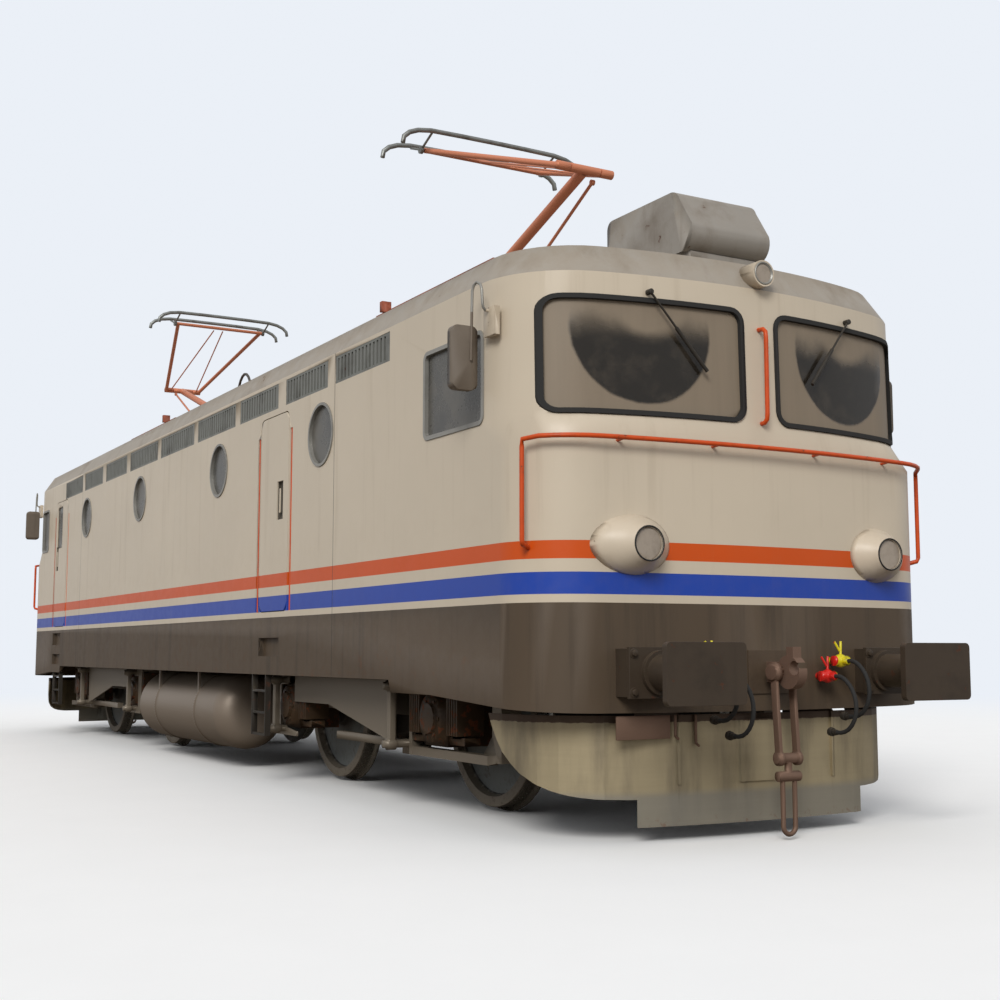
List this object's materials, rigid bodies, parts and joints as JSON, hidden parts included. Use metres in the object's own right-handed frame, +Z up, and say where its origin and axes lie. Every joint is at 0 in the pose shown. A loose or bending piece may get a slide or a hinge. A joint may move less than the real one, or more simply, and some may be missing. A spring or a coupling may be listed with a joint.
{
  "type": "electric locomotive",
  "caption": "Electric locomotive with a cab at each end, on two swivelling bogies, with single-arm pantographs, hinged doors, buffers and draw gear.",
  "frame": {"origin": "middle of the locomotive, at the height of the wheel flanges' lowest point", "axes": "+X along the track towards the first cab, +Y to the left, +Z up"},
  "size_m": [15.47, 3.63, 5.4558],
  "materials": {
    "frame_band": "satin taupe frame paint, weathered",
    "cream_paint": "semi-gloss cream body paint with orange and blue stripes",
    "grey_paint": "satin grey roof paint",
    "pale_metal": "dull pale metal window frames",
    "glass": "dirty tinted glass",
    "seal_rubber": "black rubber",
    "grille_grey": "grey louvres",
    "orange_paint": "orange rail paint, chipped",
    "lens": "frosted lamp glass",
    "dark_metal": "dark painted metal",
    "buffer_steel": "dark grey-brown paint, scuffed",
    "rusty_steel": "rusty steel",
    "cock_paint": "yellow and red cock paint",
    "hose_rubber": "black hose rubber",
    "plough_metal": "weathered bare sheet metal",
    "tank_paint": "glossy dark bronze-brown paint",
    "arm_paint": "orange-red paint with rust",
    "strip_metal": "grey contact strips",
    "bogie_paint": "olive-taupe paint with rust and dust",
    "wheel_steel": "blue-grey wheel steel",
    "interior": "dark cab interior"
  },
  "bodies": {
    "carbody": {"underframe": "frame_band", "transformer_block": "dark_metal", "cab_front": "cream_paint", "cab_rear": "cream_paint", "side_walls": "cream_paint", "roof": "grey_paint", "cab_furniture": "interior", "window_glass": "glass", "windscreen_seals": "seal_rubber", "window_frames": "pale_metal", "side_grilles": "grille_grey", "door_handrails": "orange_paint", "end_handrails": "orange_paint", "headlamps": "cream_paint", "lamp_lenses": "lens", "air_conditioner": "grey_paint", "mirrors": "pale_metal", "wipers": "dark_metal", "buffers": "buffer_steel", "draw_hooks": "rusty_steel", "screw_couplings": "rusty_steel", "air_cocks": "cock_paint", "hose_heads": "dark_metal", "snow_ploughs": "plough_metal", "air_tanks": "tank_paint", "ladders": "dark_metal", "pantograph_bases": "arm_paint", "roof_conductors": "dark_metal", "hose_front_1": "hose_rubber", "hose_front_2": "hose_rubber", "hose_front_3": "hose_rubber", "hose_front_4": "hose_rubber", "hose_rear_1": "hose_rubber", "hose_rear_2": "hose_rubber", "hose_rear_3": "hose_rubber", "hose_rear_4": "hose_rubber"},
    "cab_door_front": {"cab_door_front": "cream_paint"},
    "cab_door_rear": {"cab_door_rear": "cream_paint"},
    "machine_door_right": {"machine_door_right": "cream_paint"},
    "machine_door_left": {"machine_door_left": "cream_paint"},
    "bogie_front": {"bogie_frame_front": "bogie_paint", "axle_boxes_front": "bogie_paint", "traction_motors_front": "bogie_paint"},
    "wheelset_1": {"wheelset_1": "wheel_steel"},
    "wheelset_2": {"wheelset_2": "wheel_steel"},
    "lower_arm_front": {"lower_arm_front": "arm_paint"},
    "thrust_rod_front": {"thrust_rod_front": "arm_paint"},
    "upper_arm_front": {"upper_arm_front": "arm_paint"},
    "pan_head_front": {"pan_head_front": "strip_metal"},
    "bogie_rear": {"bogie_frame_rear": "bogie_paint", "axle_boxes_rear": "bogie_paint", "traction_motors_rear": "bogie_paint"},
    "wheelset_3": {"wheelset_3": "wheel_steel"},
    "wheelset_4": {"wheelset_4": "wheel_steel"},
    "lower_arm_rear": {"lower_arm_rear": "arm_paint"},
    "thrust_rod_rear": {"thrust_rod_rear": "arm_paint"},
    "upper_arm_rear": {"upper_arm_rear": "arm_paint"},
    "pan_head_rear": {"pan_head_rear": "strip_metal"}
  },
  "joints": [
    {"name": "bogie_front_swivel", "type": "hinge", "parent": "carbody", "child": "bogie_front", "pos_m": [3.85, 0, 0.9], "axis": [0, 0, 1], "range_deg": [-2.5, 2.5]},
    {"name": "wheelset_1_spin", "type": "hinge", "parent": "bogie_front", "child": "wheelset_1", "pos_m": [5.2, 0, 0.653], "axis": [0, 1, 0], "continuous": true},
    {"name": "wheelset_2_spin", "type": "hinge", "parent": "bogie_front", "child": "wheelset_2", "pos_m": [2.5, 0, 0.653], "axis": [0, 1, 0], "continuous": true},
    {"name": "pantograph_front_lift", "type": "hinge", "parent": "carbody", "child": "lower_arm_front", "pos_m": [3.18, 0, 4.07], "axis": [0, -1, 0], "range_deg": [-16, 18]},
    {"name": "pantograph_front_rod", "type": "hinge", "parent": "carbody", "child": "thrust_rod_front", "pos_m": [3.82, 0.11, 4.01], "axis": [0, -1, 0], "range_deg": [-24, 27]},
    {"name": "pantograph_front_knee", "type": "hinge", "parent": "lower_arm_front", "child": "upper_arm_front", "pos_m": [5.2, 0, 4.757], "axis": [0, -1, 0], "range_deg": [-39, 35]},
    {"name": "pantograph_front_head", "type": "hinge", "parent": "upper_arm_front", "child": "pan_head_front", "pos_m": [3.588, 0, 5.33], "axis": [0, -1, 0], "range_deg": [-18.5, 20.5]},
    {"name": "bogie_rear_swivel", "type": "hinge", "parent": "carbody", "child": "bogie_rear", "pos_m": [-3.85, 0, 0.9], "axis": [0, 0, 1], "range_deg": [-2.5, 2.5]},
    {"name": "wheelset_3_spin", "type": "hinge", "parent": "bogie_rear", "child": "wheelset_3", "pos_m": [-2.5, 0, 0.653], "axis": [0, 1, 0], "continuous": true},
    {"name": "wheelset_4_spin", "type": "hinge", "parent": "bogie_rear", "child": "wheelset_4", "pos_m": [-5.2, 0, 0.653], "axis": [0, 1, 0], "continuous": true},
    {"name": "pantograph_rear_lift", "type": "hinge", "parent": "carbody", "child": "lower_arm_rear", "pos_m": [-3.18, 0, 4.07], "axis": [0, 1, 0], "range_deg": [-16, 18]},
    {"name": "pantograph_rear_rod", "type": "hinge", "parent": "carbody", "child": "thrust_rod_rear", "pos_m": [-3.82, -0.11, 4.01], "axis": [0, 1, 0], "range_deg": [-24, 27]},
    {"name": "pantograph_rear_knee", "type": "hinge", "parent": "lower_arm_rear", "child": "upper_arm_rear", "pos_m": [-5.2, 0, 4.757], "axis": [0, 1, 0], "range_deg": [-39, 35]},
    {"name": "pantograph_rear_head", "type": "hinge", "parent": "upper_arm_rear", "child": "pan_head_rear", "pos_m": [-3.588, 0, 5.33], "axis": [0, 1, 0], "range_deg": [-18.5, 20.5]},
    {"name": "cab_door_front_hinge", "type": "hinge", "parent": "carbody", "child": "cab_door_front", "pos_m": [4.982, 1.531, 2.2], "axis": [0, 0, -1], "range_deg": [0, 90]},
    {"name": "cab_door_rear_hinge", "type": "hinge", "parent": "carbody", "child": "cab_door_rear", "pos_m": [-4.982, -1.531, 2.2], "axis": [0, 0, -1], "range_deg": [0, 90]},
    {"name": "machine_door_right_hinge", "type": "hinge", "parent": "carbody", "child": "machine_door_right", "pos_m": [2.532, -1.531, 2.2], "axis": [0, 0, 1], "range_deg": [0, 90]},
    {"name": "machine_door_left_hinge", "type": "hinge", "parent": "carbody", "child": "machine_door_left", "pos_m": [-2.532, 1.531, 2.2], "axis": [0, 0, 1], "range_deg": [0, 90]}
  ],
  "couplings": [
    {"joint": "pantograph_front_rod", "follows": "pantograph_front_lift", "ratio": 1.46},
    {"joint": "pantograph_front_knee", "follows": "pantograph_front_lift", "ratio": -2.12},
    {"joint": "pantograph_front_head", "follows": "pantograph_front_lift", "ratio": 1.12},
    {"joint": "pantograph_rear_rod", "follows": "pantograph_rear_lift", "ratio": 1.46},
    {"joint": "pantograph_rear_knee", "follows": "pantograph_rear_lift", "ratio": -2.12},
    {"joint": "pantograph_rear_head", "follows": "pantograph_rear_lift", "ratio": 1.12}
  ]
}
